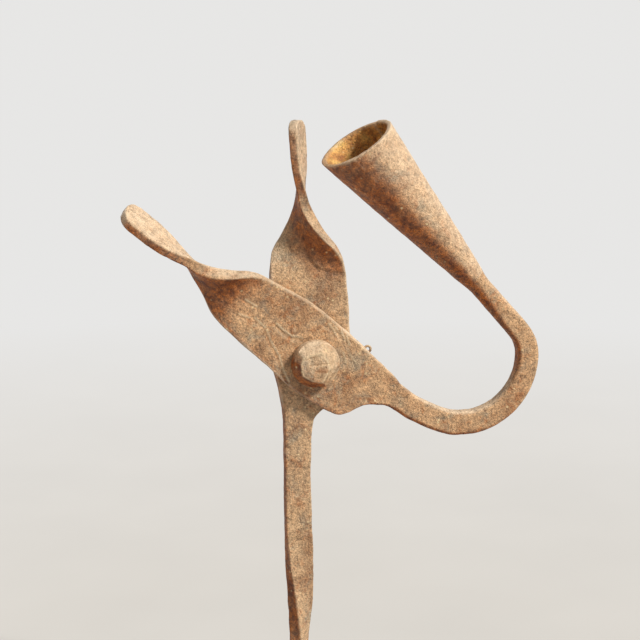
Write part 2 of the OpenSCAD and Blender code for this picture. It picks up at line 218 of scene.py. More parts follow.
def forge(shape, seed, dents=0.16, wobble=0.22, pits=0.13, calm=1.0, wear_and_highlight=0.0, sink=0.0):
    """Hammer marks, scale and rust pits as real relief. Keeps what the materials need."""
    p, n = shape.p.copy(), shape.normals()
    move = wobble * rough_noise(p, 17, 2, seed)
    near, _, value = nearest_seeds(p + 1.2 * rough_noise(p, 6, 1, seed + 3)[:, None], 6.5, seed + 5)
    move += dents * (ramp(near, 0, 4.5) - 0.5) * (0.5 + value)
    move *= calm
    # rolled-out streaks of scale, then pits in clusters
    crust = rough_noise(p, 2.6, 3, seed + 11)
    move += 0.09 * crust
    patch = ramp(rough_noise(p, 11, 2, seed + 23), -0.25, 0.35)
    hole, _, kind = nearest_seeds(p, 1.75, seed + 31)
    deep = (1 - ramp(hole, 0.15, 0.85)) * ramp(kind, 0.35, 0.8) * (0.35 + 0.65 * patch)
    move -= pits * deep
    grain = rough_noise(p, 0.8, 2, seed + 41)
    move += 0.028 * grain
    shape.p = p + n * (move - sink)[:, None]
    shape.write()
    edge = sharpness(shape, 8)
    shape.store("edge", ramp(edge, 0.015, 0.16) * (0.55 + 0.45 * smooth_noise(p, 5, seed + 51)))
    shape.store("pit", 0.75 * deep + 0.25 * ramp(-crust, 0.0, 0.6))
    soft = shape.spread(shape.normals(), 14)
    up = soft[:, 2]
    # painted shade: faces turned down and to the left, away from the key light, are marked for a deep orange
    shape.store("under", ramp(-0.83 * up - 0.55 * soft[:, 0], -0.1, 0.5))
    # painted highlight: faces turned up are marked paler, on top of the rubbed wear and painted highlight passed
    # in
    shape.store("wear_and_highlight", ramp(up, 0.25, 0.85) + wear_and_highlight)


def seat(shape, before, way, face, limit, radius=40):
    """Keeps a flat face that slides or bears, looking along y by way's sign, off its neighbour."""
    at, normal_y = before
    on = (np.abs(at[:, 1] - face) < 0.4) & (normal_y * way > 0.6)
    on &= np.hypot(at[:, 0] - PIVOT[0], at[:, 2] - PIVOT[2]) < radius
    y = shape.p[:, 1]
    shape.p[:, 1] = np.where(on, np.minimum(y * way, limit * way) * way, y)


# ---------------------------------------------------------------- bars, lofted from part.scad's sizes

NECK_REACH, NECK_W, NECK_T, GRIP_W, GRIP_T, JAW_TWIST, FOLD_T = 50, 6.6, 3.4, 12, 3, 115, 4.1
STEM_PLATE_W, STEM_W, STEM_T, STEM_TWIST, TANG_W, TANG_TIP = 24.4, 8.5, 4.6, 88, 6.6, 3
ARM_PLATE_W, PLATE_T, BAR_W, BAR_T, OPEN_ANGLE, JAW_SET = 24.7, 3.5, 7.4, 4.8, 50, 0.9
SOCKET_D, SOCKET_LENGTH, SOCKET_DEPTH, SOCKET_WALL, SOCKET_HEADING = 23.2, 61, 50, 1.3, 132
MOUTH_SLANT, MOUTH_TIP, SEAM_STEP = 9, 7, 0.7
ARM_MIDDLE = -3.7
EDGE = 0.55
FOLDS = [(0.59, 0.92, 0.07), (0.69, 0.76, 0.26), (0.79, 0.43, 0.5), (0.9, 0.14, 0.77)]


def mix(a, b, t):
    return a + (b - a) * t


def sin(a):
    return math.sin(math.radians(a))


def cos(a):
    return math.cos(math.radians(a))


def filled(rows, step):
    """Shape-keeping cubic interpolation between rows, whose first entry is the distance along."""
    rows = np.array(rows, float)
    d = np.diff(rows, axis=0) / np.diff(rows[:, 0])[:, None]
    m = np.empty_like(rows)
    m[0], m[-1] = d[0], d[-1]
    a, b = d[:-1], d[1:]
    both = a + b
    m[1:-1] = np.where(a * b > 0, 2 * a * b / np.where(both == 0, 1, both), 0)
    out = []
    for i in range(len(rows) - 1):
        h = rows[i + 1, 0] - rows[i, 0]
        n = max(2, math.ceil(h / step))
        for u in np.arange(n) / n:
            out.append(rows[i] * (2 * u**3 - 3 * u**2 + 1) + m[i] * h * (u**3 - 2 * u**2 + u)
                       + rows[i + 1] * (3 * u**2 - 2 * u**3) + m[i + 1] * h * (u**3 - u**2))
    out.append(rows[-1])
    return np.array(out)


def outline(half_w, half_t, r, count):
    """A rounded rectangle as evenly spaced points, from its right side anticlockwise."""
    r = min(r, half_w, half_t)
    w, t = half_w - r, half_t - r
    a = np.radians(np.linspace(0, 90, 13))
    corner = np.stack([np.cos(a), np.sin(a)], 1) * r
    turn = np.array(((0, 1), (-1, 0)))
    parts = [np.array([(half_w, 0.0)])]
    for sx, sy in ((1, 1), (-1, 1), (-1, -1), (1, -1)):
        parts.append(corner + (sx * w, sy * t))
        corner = corner @ turn
    parts.append(np.array([(half_w, 0.0)]))
    line = np.concatenate(parts)
    gone = np.concatenate([[0], np.cumsum(np.linalg.norm(np.diff(line, axis=0), axis=1))])
    at = np.arange(count) * gone[-1] / count
    return np.stack([np.interp(at, gone, line[:, k]) for k in (0, 1)], 1)


def grip_rows(reach):
    return [
        (NECK_REACH, NECK_W, NECK_T, 90),
        (mix(NECK_REACH, reach, 0.2), mix(NECK_W, GRIP_W, 0.44), mix(NECK_T, GRIP_T, 0.6), mix(90,
                JAW_TWIST, 0.62)),
        (mix(NECK_REACH, reach, 0.4), mix(NECK_W, GRIP_W, 0.84), GRIP_T, mix(90, JAW_TWIST, 0.92)),
        (mix(NECK_REACH, reach, 0.6), GRIP_W, GRIP_T, JAW_TWIST),
        (mix(NECK_REACH, reach, 0.82), GRIP_W, GRIP_T, JAW_TWIST),
        (reach - GRIP_W * 0.18, GRIP_W * 0.9, GRIP_T, JAW_TWIST),
        (reach - GRIP_W * 0.07, GRIP_W * 0.7, GRIP_T * 0.97, JAW_TWIST),
        (reach, GRIP_W * 0.38, GRIP_T * 0.88, JAW_TWIST)]


def stem_rings(step, count):
    top, middle, lean = 44 - 165, -4.2, math.tan(math.radians(3.6))
    twist_top = -2.2 * STEM_PLATE_W
    rows = [(top - 4, middle, TANG_W, STEM_T, -STEM_TWIST), (top, middle, TANG_W, STEM_T, -STEM_TWIST)]
    for share, off, w, t, turn in ((0.09, 0, 0.84, 1, 1), (0.39, 0.3, 0.89, 0.94, 0.72), (0.61, 0.7, 0.95,
            0.9, 0.42),
                                   (0.83, 0.3, 1, 0.85, 0.15)):
        rows.append((mix(top, twist_top, share), middle + off, STEM_W * w, STEM_T * t, -STEM_TWIST * turn))
    rows.append((twist_top, middle, STEM_W, mix(PLATE_T, STEM_T, 0.25), 0))
    for share, off, w in ((1.56, -0.3, STEM_W * 0.96), (1.02, -0.2, STEM_W), (0.8, 0, STEM_W * 1.08),
            (0.7, 0.8, STEM_W * 1.32),
                          (0.57, 2.7, STEM_PLATE_W * 0.65), (0.33, 4.1, STEM_PLATE_W * 0.86)):
        rows.append((-share * STEM_PLATE_W, middle + off, w, PLATE_T, 0))
    rows.append((0, 0, STEM_PLATE_W, PLATE_T, 0))
    rows.append((NECK_REACH * 0.28, 0.6 - lean * NECK_REACH * 0.28, STEM_PLATE_W, PLATE_T, 0))
    rows.append((NECK_REACH * 0.5, 0.7 - lean * NECK_REACH * 0.5, STEM_PLATE_W * 0.98, PLATE_T, 0))
    for share, left, turn in FOLDS:
        z = NECK_REACH * share
        rows.append((z, mix(0.7, 0.3, turn) - lean * z, mix(NECK_W, STEM_PLATE_W, left), mix(PLATE_T,
                FOLD_T, sin(180 * turn)), 90 * turn))
    rows += [(z, 0.2 - lean * z, w, t, turn) for z, w, t, turn in grip_rows(73.8)]
    tang = np.array((top - 34, middle, TANG_TIP, TANG_TIP, -STEM_TWIST))
    tang_rows = [mix(tang, np.array(rows[0]), k / 40) for k in range(40)]
    rings = []
    for z, x, w, t, turn in tang_rows + list(filled(rows, step)):
        q = outline(w / 2, t / 2, EDGE, count)
        rings.append(np.stack([x + q[:, 0] * cos(turn) + q[:, 1] * sin(turn), q[:, 1] * cos(turn) - q[:,
                0] * sin(turn),
                               np.full(count, z)], 1))
    return rings


def arm_rings(step, count):
    up0, out = ARM_PLATE_W * 0.565, []
    down0 = up0 - ARM_PLATE_W

    def jaw_row(s, up, down, t, turn):
        mid = (up + down) / 2
        ahead = 0 if s < NECK_REACH * 0.3 else 0.35 * JAW_SET if s < NECK_REACH * 0.5 else JAW_SET
        return (-s, mid * cos(OPEN_ANGLE) - s * sin(OPEN_ANGLE), s * cos(OPEN_ANGLE) + mid * sin(OPEN_ANGLE),
                OPEN_ANGLE - 90, up - down, t, EDGE, turn, 0, 0, ahead)

    rows = [jaw_row(s, 0.5 + w / 2, 0.5 - w / 2, t, turn) for s, w, t, turn in reversed(grip_rows(74.8))]
    for share, left, turn in reversed(FOLDS):
        w, mid = mix(NECK_W, ARM_PLATE_W * 0.84, left), mix(1.4, 0, turn)
        rows.append(jaw_row(NECK_REACH * share, mid + w / 2, mid - w / 2, mix(PLATE_T, FOLD_T,
                sin(180 * turn)), 90 * turn))
    for s, up, down in ((NECK_REACH * 0.48, 0.86, 0.83), (NECK_REACH * 0.24, 0.99, 0.91), (0, 1, 1),
            (-ARM_PLATE_W * 0.324, 0.97, 0.94),
                        (-ARM_PLATE_W * 0.567, 0.93, 0.85), (-ARM_PLATE_W * 0.696, 0.91, 0.74),
                                (-ARM_PLATE_W * 0.77, 0.9, 0.52),
                        (-ARM_PLATE_W * 0.842, 0.88, 0.18)):
        rows.append(jaw_row(s, up0 * up, down0 * down, PLATE_T, 0))
    rows.append(jaw_row(-ARM_PLATE_W * 0.992, up0 * 0.86, up0 * 0.115, mix(PLATE_T, BAR_T, 0.4), 0))
    rows.append((ARM_PLATE_W * 1.275, ARM_PLATE_W * 1.065, ARM_PLATE_W * -0.498, -37.7, BAR_W * 1.08,
            mix(PLATE_T, BAR_T, 0.7), EDGE * 1.8, 0, 0, 0, 0))
    rows.append((ARM_PLATE_W * 1.58, ARM_PLATE_W * 1.336, ARM_PLATE_W * -0.688, -27, BAR_W * 1.02, BAR_T,
            EDGE * 2.4, 0, 0, 0, 0))
    # round the bend: a wide arc, then a tighter one
    cx, cz, wide, tight, start = 48.8, -1.4, 21, 13, -95
    begin, turned, foot_w = cx * 1.035, SOCKET_HEADING - 90, BAR_W * 0.89
    for k in range(9):
        a = mix(start, 0, k / 8)
        rows.append((begin + wide * math.radians(a - start), cx + wide * cos(a), cz + wide * sin(a), a + 90,
                     mix(BAR_W * 1.05, BAR_W * 0.93, k / 8), BAR_T, EDGE * 2.4, 0, 0, 0, 0))
    from_tight, tx = begin - wide * math.radians(start), cx + wide - tight
    for k in range(1, 5):
        a = turned * k / 4
        rows.append((from_tight + tight * math.radians(a), tx + tight * cos(a), cz + tight * sin(a), a + 90,
                     mix(BAR_W * 0.93, foot_w, k / 4), BAR_T, EDGE * 2.4, 0, 0, 0, 0))
    straight, from_straight = SOCKET_LENGTH * 0.311, from_tight + tight * math.radians(turned)
    fx, fz = rows[-1][1] + straight * cos(SOCKET_HEADING), rows[-1][2] + straight * sin(SOCKET_HEADING)
    rows.append((from_straight + straight / 2, (rows[-1][1] + fx) / 2, (rows[-1][2] + fz) / 2,
            SOCKET_HEADING, foot_w, foot_w * 0.85, foot_w * 0.35, 0, 0, 0, 0))
    first = from_straight + straight
    for along, r, slant, seam in ((0, foot_w / 2, 0, 0), (SOCKET_LENGTH * 0.115, mix(foot_w, SOCKET_D,
            0.115) / 2, 0, 0.3),
                                  (SOCKET_LENGTH / 2, mix(foot_w, SOCKET_D, 0.5) / 2, 0, 1),
                                        (SOCKET_LENGTH, SOCKET_D / 2, MOUTH_SLANT, 1)):
        rows.append((first + along, fx + along * cos(SOCKET_HEADING), fz + along * sin(SOCKET_HEADING),
                SOCKET_HEADING - slant,
                     2 * r / cos(slant), 2 * r, r, 0, seam, MOUTH_TIP if slant else 0, 0))
    centres = []
    for row in filled(rows, step):
        at, x, z, heading, w, t, r, turn, seam, tip, ahead = row
        q = outline(w / 2, t / 2, r, count)[::-1]
        back = (np.degrees(np.arctan2(q[:, 1], q[:, 0])) - 150) % 360
        lap = np.where(back > 110, 0, seam * SEAM_STEP * (1 - back / 110))
        q = q * (1 + lap / np.linalg.norm(q, axis=1))[:, None]
        across = q[:, 0] * cos(turn) + q[:, 1] * sin(turn)
        deep = q[:, 1] * cos(turn) - q[:, 0] * sin(turn)
        on = deep * math.tan(math.radians(tip))
        out.append(np.stack([x + on * cos(heading) - across * sin(heading), ARM_MIDDLE - ahead + deep,
                             z + on * sin(heading) + across * cos(heading)], 1))
        centres.append((at - first, np.array((x, ARM_MIDDLE - ahead, z))))
    # over the lip and down the inside of the rolled sheet
    inner = []
    for (along, centre), ring in list(zip(centres, out))[::-2]:
        if along < SOCKET_LENGTH - SOCKET_DEPTH:
            break
        reach = np.linalg.norm(ring - centre, axis=1)[:, None]
        if not inner:
            lip = np.array((cos(SOCKET_HEADING), 0, sin(SOCKET_HEADING))) * 0.15
            for part in (0.15, 0.5, 0.85):
                inner.append(centre + (ring - centre) * (1 - part * SOCKET_WALL / reach) + lip * sin(180 * part))
        inner.append(centre + (ring - centre) * (1 - SOCKET_WALL / reach))
    return out + inner


def lofted(name, rings, hole_radius, hole_from, hole_to):
    """Skins the rings into a closed mesh and bores the pivot's hole."""
    n = len(rings[0])
    points = (np.concatenate(rings) + PIVOT) * MM
    i, k = np.meshgrid(np.arange(len(rings) - 1), np.arange(n), indexing="ij")
    a, b = (i * n + k).ravel(), (i * n + (k + 1) % n).ravel()
    faces = np.stack([a, a + n, b + n, b], 1).tolist()
    faces += [list(range(n)), [(len(rings) - 1) * n + j for j in range(n)][::-1]]
    mesh = bpy.data.meshes.new(name)
    mesh.from_pydata(points.tolist(), [], faces)
    bm = bmesh.new()
    bm.from_mesh(mesh)
    if bm.calc_volume(signed=True) < 0:
        bmesh.ops.reverse_faces(bm, faces=bm.faces)
    bm.to_mesh(mesh)
    bm.free()
    drill_mesh = bpy.data.meshes.new("drill")
    bm = bmesh.new()
    bmesh.ops.create_cone(bm, cap_ends=True, segments=96, radius1=hole_radius * MM,
            radius2=hole_radius * MM, depth=(hole_to - hole_from) * MM)
    bmesh.ops.rotate(bm, verts=bm.verts, matrix=Matrix.Rotation(math.pi / 2, 3, "X"))
    bmesh.ops.translate(bm, verts=bm.verts, vec=(PIVOT + (0, (hole_from + hole_to) / 2, 0)) * MM)
    bm.to_mesh(drill_mesh)
    bm.free()
    drill = new_object("drill", drill_mesh)
    ob = new_object(name + "_raw", mesh)
    mod = ob.modifiers.new("hole", "BOOLEAN")
    mod.operation = "DIFFERENCE"
    mod.solver = "MANIFOLD"
    mod.object = drill
    made = bpy.data.meshes.new_from_object(ob.evaluated_get(bpy.context.evaluated_depsgraph_get()))
    bpy.data.objects.remove(ob)
    bpy.data.objects.remove(drill)
    made.name = name
    made.materials.clear()
    made.polygons.foreach_set("use_smooth", np.ones(len(made.polygons), dtype=bool))
    return Shape(made)


# ---------------------------------------------------------------- materials

class Nodes:
    """Short names for the shader nodes used here."""

    def __init__(self, name):
        self.material = bpy.data.materials.new(name)
        self.material.use_nodes = True
        self.tree = self.material.node_tree
        self.shader = self.tree.nodes["Principled BSDF"]
        self.place = self.tree.nodes.new("ShaderNodeTexCoord").outputs["Object"]

    def add(self, kind, **inputs):
        node = self.tree.nodes.new(kind)
        for key, value in inputs.items():
            self.set(node.inputs[key.replace("_", " ")], value)
        return node

    def set(self, socket, value):
        if isinstance(value, bpy.types.NodeSocket):
            self.tree.links.new(value, socket)
        else:
            socket.default_value = value

    def noise(self, size_mm, detail=3.0, rough=0.55, stretch=None, warp=0.0):
        place = self.place
        if stretch:
            m = self.add("ShaderNodeMapping", Vector=place)
            m.inputs["Scale"].default_value = stretch
            place = m.outputs[0]
        node = self.add("ShaderNodeTexNoise", Vector=place, Scale=1000 / size_mm, Detail=detail,
                Roughness=rough, Distortion=warp)
        return node.outputs["Fac"]

    def cells(self, size_mm):
        node = self.add("ShaderNodeTexVoronoi", Vector=self.place, Scale=1000 / size_mm)
        return node.outputs["Distance"]

    def attribute(self, name):
        node = self.tree.nodes.new("ShaderNodeAttribute")
        node.attribute_name = name
        return node.outputs["Fac"]

    def math(self, operation, a, b=0.0, c=None, clamp=False):
        node = self.tree.nodes.new("ShaderNodeMath")
        node.operation = operation
        node.use_clamp = clamp
        self.set(node.inputs[0], a)
        self.set(node.inputs[1], b)
        if c is not None:
            self.set(node.inputs[2], c)
        return node.outputs[0]

    def ramp(self, factor, *stops):
        node = self.add("ShaderNodeValToRGB", Fac=factor)
        ramp_stops = node.color_ramp.elements
        while len(ramp_stops) < len(stops):
            ramp_stops.new(0.5)
        for element, (at, colour) in zip(ramp_stops, stops):
            element.position = at
            element.color = (*colour, 1) if isinstance(colour, tuple) else (colour, colour, colour, 1)
        return node.outputs["Color"]

    def mix(self, factor, a, b, blend="MIX"):
        node = self.tree.nodes.new("ShaderNodeMix")
        node.data_type = "RGBA"
        node.blend_type = blend
        self.set(node.inputs[0], factor)
        self.set(node.inputs[6], (*a, 1) if isinstance(a, tuple) else a)
        self.set(node.inputs[7], (*b, 1) if isinstance(b, tuple) else b)
        return node.outputs[2]

    def bump(self, height, distance_mm, strength=1.0, normal=None):
        node = self.add("ShaderNodeBump", Height=height, Distance=distance_mm * MM, Strength=strength)
        if normal:
            self.set(node.inputs["Normal"], normal)
        return node.outputs[0]


def rgb(r, g, b):
    """A colour as seen on a screen, 0 to 255, in linear light."""
    return tuple(((c / 255) / 12.92 if c <= 10 else ((c / 255 + 0.055) / 1.055) ** 2.4) for c in (r, g, b))


def old_iron(name, tan, brown, dark, rust, grey, inside=False, speckle=1.0):
    m = Nodes(name)
    wide = m.ramp(m.noise(14, 3, 0.6), (0.34, brown), (0.5, tan), (0.68, tan))
    greyed = m.mix(m.ramp(m.noise(9, 5, 0.7, warp=0.5), (0.52, 0.0), (0.66, 0.8)), wide, grey)
    rusted = m.mix(m.ramp(m.noise(4.5, 5, 0.72, warp=0.8), (0.52, 0.0), (0.66, 0.75)), greyed, rust)
    # pale where rushes and hands rub the grips, with painted highlight on faces turned up and on the socket's
    # lit right side; deep orange painted shade on faces turned down and to the left, away from the key light
    wear_and_highlight = m.math("MULTIPLY", m.attribute("wear_and_highlight"), m.ramp(m.noise(3.5, 4, 0.65), (0.34, 0.45), (0.62, 0.95)))
    rubbed = m.mix(wear_and_highlight, rusted, PALE_WEAR_AND_HIGHLIGHT)
    under = m.math("MULTIPLY", m.attribute("under"), m.ramp(m.noise(5, 4, 0.7), (0.3, 0.75), (0.6, 1.0)))
    colour = m.mix(under, rubbed, m.ramp(m.noise(3, 4, 0.7), (0.36, rgb(112, 50, 8)), (0.62, rgb(178, 98,
            28))))
    if inside:
        ochre = m.ramp(m.noise(4.5, 4, 0.65), (0.34, rgb(170, 104, 44)), (0.5, rgb(214, 156, 78)), (0.64,
                rgb(240, 196, 112)))
        colour = m.mix(m.math("MULTIPLY", m.attribute("inside"), 0.9), colour, ochre)
    # the fine speckle of pitted iron under wax
    speck = m.noise(0.55, 5, 0.75)
    mottle = m.noise(1.5, 4, 0.7)
    plain = m.math("MULTIPLY_ADD", wear_and_highlight, -0.62, 1.0, clamp=True)
    colour = m.mix(plain, colour, m.mix(1.0, colour, m.ramp(speck, (0.34, 1 - 0.62 * speckle), (0.5, 1.0),
            (0.66, 1 + 0.42 * speckle)), "MULTIPLY"))
    colour = m.mix(1.0, colour, m.ramp(mottle, (0.34, 0.66), (0.52, 1.0), (0.7, 1.16)), "MULTIPLY")
    pit = m.attribute("pit")
    colour = m.mix(m.math("MULTIPLY", pit, 0.7), colour, dark)
    fleck = m.math("MULTIPLY", m.ramp(m.cells(2.4), (0.1, 1.0), (0.2, 0.0)), m.ramp(m.noise(6, 2), (0.48,
            0.0), (0.6, 0.8)))
    colour = m.mix(fleck, colour, rgb(226, 202, 156))
    edge = m.attribute("edge")
    colour = m.mix(m.math("MULTIPLY", edge, 0.75), colour, rgb(232, 208, 176))
    colour = m.mix(m.math("MULTIPLY", m.attribute("mark"), 0.6), colour, rgb(222, 198, 160))
    m.set(m.shader.inputs["Base Color"], colour)
    rough = m.math("MULTIPLY_ADD", speck, 0.35, 0.4)
    m.set(m.shader.inputs["Roughness"], m.math("MULTIPLY_ADD", edge, -0.16, rough, clamp=True))
    m.set(m.shader.inputs["Metallic"], m.math("MULTIPLY_ADD", edge, 0.25, 0.06, clamp=True))
    m.shader.inputs["Specular IOR Level"].default_value = 0.5
    height = m.math("ADD", m.math("MULTIPLY", speck, 0.7), m.math("MULTIPLY", mottle, 1.1))
    fine = m.bump(height, 0.45, 1.0)
    tiny = m.bump(m.cells(0.7), 0.16, 0.7, fine)
    m.set(m.shader.inputs["Normal"], tiny)
    return m.material


def old_oak(name):
    m = Nodes(name)
    # rings round an axis along X, below the block, so the grain runs along its width
    m_place = m.add("ShaderNodeMapping", Vector=m.place)
    m_place.inputs["Location"].default_value = (0, -0.012, 0.03)
    m_place.inputs["Rotation"].default_value = (0.0, 0.05, 0.03)
    split = m.add("ShaderNodeSeparateXYZ", Vector=m_place.outputs[0])
    waver = m.noise(26, 3, 0.5, stretch=(0.18, 1, 1))
    y = m.math("MULTIPLY_ADD", waver, 0.014, split.outputs[1])
    z = m.math("MULTIPLY_ADD", m.noise(31, 3, 0.5, stretch=(0.15, 1, 1)), 0.012, split.outputs[2])
    radius = m.math("SQRT", m.math("ADD", m.math("MULTIPLY", y, y), m.math("MULTIPLY", z, z)))
    ring = m.math("FRACT", m.math("MULTIPLY", radius, 1000 / 3.4))
    fibre = m.noise(0.9, 4, 0.7, stretch=(0.05, 1, 1))
    pores = m.noise(0.55, 3, 0.7, stretch=(0.07, 1, 1))
    blotch = m.noise(24, 4, 0.6)
    early = m.ramp(ring, (0.0, rgb(70, 44, 26)), (0.18, rgb(92, 60, 36)), (0.7, rgb(124, 86, 54)), (1.0,
            rgb(84, 54, 33)))
    colour = m.mix(1.0, early, m.ramp(fibre, (0.3, 0.68), (0.52, 1.0), (0.72, 1.22)), "MULTIPLY")
    colour = m.mix(1.0, colour, m.ramp(blotch, (0.3, 0.66), (0.55, 1.0), (0.75, 1.12)), "MULTIPLY")
    dark_pore = m.ramp(pores, (0.36, 1.0), (0.46, 0.0))
    colour = m.mix(m.math("MULTIPLY", dark_pore, 0.55), colour, rgb(38, 23, 13))
    colour = m.mix(m.math("MULTIPLY", m.attribute("pit"), 0.9), colour, rgb(26, 16, 10))
    colour = m.mix(m.math("MULTIPLY", m.attribute("edge"), 0.5), colour, rgb(150, 112, 76))
    m.set(m.shader.inputs["Base Color"], colour)
    m.set(m.shader.inputs["Roughness"], m.math("MULTIPLY_ADD", fibre, 0.3, 0.34))
    m.shader.inputs["Specular IOR Level"].default_value = 0.45
    height = m.math("SUBTRACT", m.math("MULTIPLY", fibre, 0.7), m.math("MULTIPLY", dark_pore, 0.8))
    m.set(m.shader.inputs["Normal"], m.bump(height, 0.35, 0.8))
    return m.material


PALE_WEAR_AND_HIGHLIGHT = rgb(232, 206, 174)
TAN = rgb(204, 164, 122)
BROWN = rgb(164, 122, 84)
DARK = rgb(66, 40, 25)
RUST = rgb(176, 112, 62)
GREY = rgb(158, 142, 118)

arm_iron = old_iron("arm_iron", TAN, BROWN, DARK, RUST, GREY, inside=True)
stem_iron = old_iron("stem_iron", rgb(198, 162, 122), rgb(158, 120, 84), DARK, rgb(168, 108, 62), rgb(152,
        140, 118))
pin_iron = old_iron("pin_iron", rgb(208, 176, 138), rgb(176, 140, 102), DARK, rgb(168, 116, 72), rgb(176,
        160, 138), speckle=0.55)
oak = old_oak("old_oak")


def show(name, shape, body, material, slot, *nodes):
    shape.write()
    ob = new_object(name, shape.mesh)
    ob.data.materials.append(material)
    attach(ob, body)
    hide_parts(*nodes)
    return ob


# ---------------------------------------------------------------- stem with the fixed jaw

step, around = ((0.44, 134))

stem = lofted("forged_stem", stem_rings(step, around), 3.55, -3, 3)
height = stem.p[:, 2] - PIVOT[2]
before = stem.p.copy(), stem.normals()[:, 1]
forge(stem, 101, dents=0.15, wobble=0.2, calm=1 - 0.45 * ramp(height, 40, 52),
        wear_and_highlight=0.1 + 0.5 * ramp(height, 50, 56),
      sink=0.22 * ramp(height, 44, 52))
seat(stem, before, -1, STEM_FRONT, STEM_FRONT - 0.08)
seat(stem, before, 1, STEM_BACK, STEM_BACK + 0.07, 10)
show("forged_stem", stem, "stand", stem_iron, "stem_iron", "stem_and_fixed_jaw")

# ---------------------------------------------------------------- arm with its jaw and socket

arm = lofted("forged_arm", arm_rings(step, around), 3.58, -8, 0)
q = arm.p - PIVOT
n = arm.normals()
front = ramp(-n[:, 1], 0.6, 0.9) * (np.abs(arm.p[:, 1] - PLATE_FRONT) < 1.2)
cut, lips = np.zeros(len(q)), np.zeros(len(q))
# an arc scratch, a round dent, creases and file strokes round the pin's head, as (path, width, depth)
MARKS = [
    ([(-12.2, 12.4), (-9.8, 9.9), (-7.4, 8.2), (-4.4, 7.6)], 0.45, 0.4),
    ([(-15.2, 10.0), (-14.2, 7.2), (-12.0, 3.0)], 0.6, 0.32),
    ([(-19.0, 14.5), (-16.0, 11.5)], 0.5, 0.25),
    ([(-11.6, 2.4), (-10.2, -2.4), (-8.6, -6.0)], 0.5, 0.28),
    ([(4.0, 11.6), (5.6, 9.6), (6.4, 8.0)], 0.4, 0.3), ([(6.0, 10.6), (8.2, 7.6)], 0.4, 0.3),
    ([(7.8, 9.4), (9.2, 6.2)], 0.4, 0.26), ([(9.6, 7.6), (10.4, 4.8)], 0.35, 0.22),
    ([(8.6, 2.4), (9.4, -1.0)], 0.4, 0.25), ([(10.6, 1.6), (12.8, -1.4)], 0.4, 0.22),
    ([(-24.0, 16.0), (-20.6, 14.6)], 0.4, 0.22), ([(-22.0, 20.4), (-18.4, 18.0)], 0.4, 0.2)]
for path, width, depth in MARKS:
    cut += groove(q, path, width, depth)
    lips = np.maximum(lips, groove(q, [(x + 0.45, z + 0.55) for x, z in path], 0.3, 1.0))
ring = np.hypot(q[:, 0] + 6.5, q[:, 2] - 10.6)
cut += 0.26 * np.exp(-((ring - 1.2) / 0.4) ** 2)
arm.p[:, 1] += (cut - 0.12 * lips) * front
axis = np.array((math.cos(math.radians(132)), 0, math.sin(math.radians(132))))
along = (q - SOCKET_FOOT) @ axis
off = (q - SOCKET_FOOT) - along[:, None] * axis
in_socket = (np.linalg.norm(off, axis=1) < 13) & (along > 4)
inside = in_socket & ((off * n).sum(1) < 0)
quiet = np.maximum(ramp(q[:, 0], 22, 34), 0.6 * ramp(np.linalg.norm(q, axis=1), 42, 52))
soft_right = arm.spread(n, 10)[:, 0]
before = arm.p.copy(), n[:, 1]
jaw_way = q[:, 2] * cos(50) - q[:, 0] * sin(50)
# painted highlight on the socket's lit right side, and rubbed wear on the jaw's grip face
forge(arm, 202, calm=1 - 0.7 * np.maximum(quiet, in_socket),
      wear_and_highlight=0.62 * in_socket * ramp(soft_right, -0.3, 0.6) + 0.5 * ramp(jaw_way, 50, 56),
      sink=0.22 * ramp(jaw_way, 44, 52))
seat(arm, before, 1, ARM_BACK, ARM_BACK + 0.08)
seat(arm, before, -1, PLATE_FRONT, PLATE_FRONT - 0.1, 8.6)

arm.store("mark", lips * front)
arm.store("inside", inside.astype(float))
show("forged_arm", arm, "arm", arm_iron, "arm_iron", "nip_arm_and_socket")

# ---------------------------------------------------------------- pivot pin

FLAT = [(-4.4, 2.9), (0.8, 4.3), (2.9, 1.7), (3.7, -0.9), (1.3, -5.1), (-1.8, -4.4), (-4.7, -2.7), (-5.2,
        0.6)]
SLOPES = [0.95, 0.8, 0.75, 0.95, 1.6, 1.9, 1.3, 1.05]


def head_height(x, z):
    """Height of the hammered head above its seat: a tilted flat and eight bevels."""
    h = 5.25 + 0.03 * x - 0.02 * z
    for (a, b, slope) in zip(FLAT, FLAT[1:] + FLAT[:1], SLOPES):
        side = np.array(b) - np.array(a)
        out = np.array((-side[1], side[0])) / np.linalg.norm(side)
        h = np.minimum(h, 5.25 - slope * ((x - a[0]) * out[0] + (z - a[1]) * out[1]))
    return h


def pin_mesh():
    bm = bmesh.new()
    rings, turns = 30, 120
    angles = [2 * math.pi * k / turns for k in range(turns)]
    seat = HEAD_SEAT
    levels = []
    for j in range(1, rings + 1):
        ring_points = []
        for a in angles:
            lower_left = math.exp(-((math.degrees(a) - 228) / 48) ** 2)
            limit = 7.42 - 0.85 * lower_left
            r = limit * j / rings
            x, z = r * math.cos(a), r * math.sin(a)
            h = max(float(head_height(x, z)), 1.25)
            ring_points.append((x, seat - h, z))
        levels.append(ring_points)
    for r, h in ((7.42, 1.15), (7.5, 0.9), (7.5, 0.05)):
        levels.append([(r * math.cos(a), seat - h, r * math.sin(a)) for a in angles])
    tail = 1.75 + 0.2 + 1.6 + 5.0
    for r, y in ((3.6, seat), (3.5, seat + 0.1), (3.5, tail - 0.5), (3.1, tail)):
        levels.append([(r * math.cos(a), y, r * math.sin(a)) for a in angles])
    rows = [[bm.verts.new((PIVOT + point) * MM) for point in level] for level in levels]
    top = bm.verts.new((PIVOT + (0, seat - float(head_height(0, 0)), 0)) * MM)
    for k in range(turns):
        k2 = (k + 1) % turns
        bm.faces.new((top, rows[0][k], rows[0][k2]))
        for a, b in zip(rows[:-1], rows[1:]):
            bm.faces.new((a[k], b[k], b[k2], a[k2]))
    bm.faces.new(list(reversed(rows[-1])))
    bmesh.ops.recalc_face_normals(bm, faces=bm.faces)
    mesh = bpy.data.meshes.new("hammered_pin")
    bm.to_mesh(mesh)
    bm.free()
    return mesh


